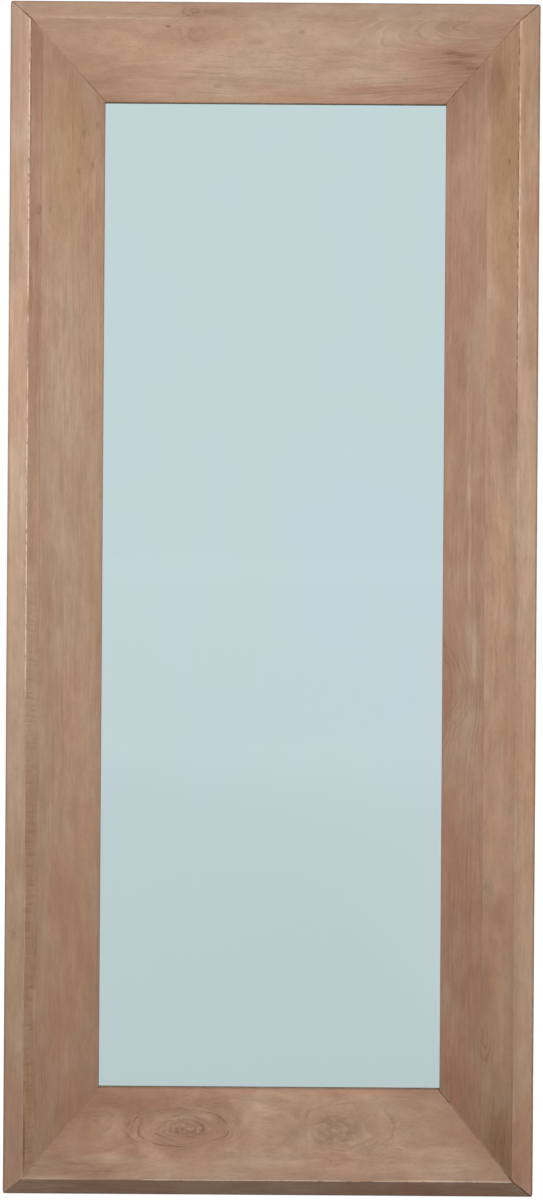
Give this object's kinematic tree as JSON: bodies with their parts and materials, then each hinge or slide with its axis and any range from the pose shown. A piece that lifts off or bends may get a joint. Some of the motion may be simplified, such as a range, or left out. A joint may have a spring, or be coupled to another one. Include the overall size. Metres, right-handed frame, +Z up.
{
  "type": "framed wall mirror",
  "caption": "Tall rectangular mirror in a deep mitred solid-wood frame whose face slopes from an outer ridge down to the glass, with swinging D-rings on the back.",
  "frame": {"origin": "middle of the underside of the bottom rail, halfway through the mirror's depth", "axes": "+Z up along the mirror's height, +Y out of the back towards the wall, +X to the right as the mirror is seen from the front"},
  "size_m": [0.8, 0.0848, 1.8],
  "materials": {
    "frame_wood": "matt, lightly whitewashed",
    "dowel_wood": "bare beech",
    "mirror": "silvered float glass with a faint green-blue cast",
    "board": "smooth brown hardboard",
    "foam": "white closed-cell foam",
    "block": "black rubber",
    "zinc_steel": "zinc plated",
    "screw_steel": "yellow zinc plated"
  },
  "bodies": {
    "mirror": {"top_rail": "frame_wood", "bottom_rail": "frame_wood", "left_stile_ridge_stave": "frame_wood", "left_stile_inner_stave": "frame_wood", "right_stile_ridge_stave": "frame_wood", "right_stile_inner_stave": "frame_wood", "mitre_dowels": "dowel_wood", "corner_plate_bottom_left": "zinc_steel", "corner_plate_top_left": "zinc_steel", "corner_plate_bottom_right": "zinc_steel", "corner_plate_top_right": "zinc_steel", "corner_plate_screws": "screw_steel", "mirror_glass": "mirror", "foam_sheet": "foam", "setting_blocks": "block", "edge_packers": "block", "backing_board": "board", "backing_screws": "screw_steel", "left_hanger_strap": "zinc_steel", "left_hanger_screws": "screw_steel", "right_hanger_strap": "zinc_steel", "right_hanger_screws": "screw_steel"},
    "left_ring": {"left_hanger_ring": "zinc_steel"},
    "right_ring": {"right_hanger_ring": "zinc_steel"}
  },
  "joints": [
    {"name": "left_ring_swing", "type": "hinge", "parent": "mirror", "child": "left_ring", "pos_m": [-0.37202, 0.03688, 1.5], "axis": [1, 0, 0], "range_deg": [0, 178]},
    {"name": "right_ring_swing", "type": "hinge", "parent": "mirror", "child": "right_ring", "pos_m": [0.37202, 0.03688, 1.5], "axis": [1, 0, 0], "range_deg": [0, 178]}
  ]
}
